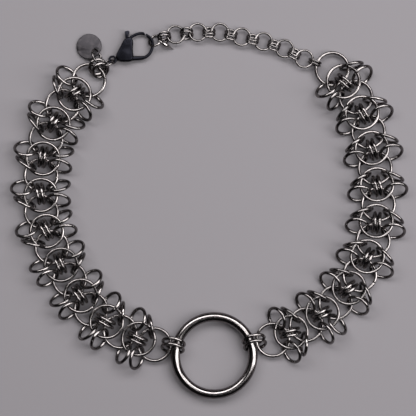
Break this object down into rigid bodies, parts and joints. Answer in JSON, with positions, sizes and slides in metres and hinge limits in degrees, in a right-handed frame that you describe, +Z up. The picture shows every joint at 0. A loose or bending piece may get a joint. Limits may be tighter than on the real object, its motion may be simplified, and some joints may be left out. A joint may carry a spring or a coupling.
{
  "type": "chain choker",
  "caption": "Chunky chain choker of woven round steel rings with a large front O-ring, closed by a lobster clasp on an extension chain, lying flat as a closed loop.",
  "frame": {"origin": "centre of the closed loop's footprint, on the surface that it lies on", "axes": "+Z up from the surface, -Y towards the front O-ring, +X towards the side that carries the extension chain"},
  "size_m": [0.1466, 0.1386, 0.0093],
  "materials": {
    "wire_steel": "polished stainless steel wire",
    "ring_steel": "polished stainless steel",
    "tag_steel": "darkened steel, lightly worn",
    "dark_steel": "dark gunmetal steel, satin"
  },
  "bodies": {
    "chain": {"o_ring": "ring_steel", "connector_right": "wire_steel", "connector_left": "wire_steel", "link_r01": "wire_steel", "link_r02": "wire_steel", "link_r03": "wire_steel", "link_r04": "wire_steel", "link_r05": "wire_steel", "link_r06": "wire_steel", "link_r07": "wire_steel", "link_r08": "wire_steel", "link_r09": "wire_steel", "link_r10": "wire_steel", "link_l01": "wire_steel", "link_l02": "wire_steel", "link_l03": "wire_steel", "link_l04": "wire_steel", "link_l05": "wire_steel", "link_l06": "wire_steel", "link_l07": "wire_steel", "link_l08": "wire_steel", "link_l09": "wire_steel", "link_l10": "wire_steel", "knot_r01": "wire_steel", "knot_r02": "wire_steel", "knot_r03": "wire_steel", "knot_r04": "wire_steel", "knot_r05": "wire_steel", "knot_r06": "wire_steel", "knot_r07": "wire_steel", "knot_r08": "wire_steel", "knot_r09": "wire_steel", "knot_l01": "wire_steel", "knot_l02": "wire_steel", "knot_l03": "wire_steel", "knot_l04": "wire_steel", "knot_l05": "wire_steel", "knot_l06": "wire_steel", "knot_l07": "wire_steel", "knot_l08": "wire_steel", "knot_l09": "wire_steel", "extension_chain": "wire_steel", "end_drop": "wire_steel", "end_ring": "wire_steel", "clasp_body": "dark_steel", "clasp_rings": "wire_steel", "tag": "tag_steel", "tag_ring": "wire_steel"},
    "lever": {"clasp_lever": "dark_steel"}
  },
  "joints": [
    {"name": "lever_hinge", "type": "hinge", "parent": "chain", "child": "lever", "pos_m": [-0.02981, 0.0622, 0.0017], "axis": [0, 0, 1], "range_deg": [-26, 0], "stiffness_Nm_per_rad": 0.004, "springref_deg": 5.73}
  ]
}
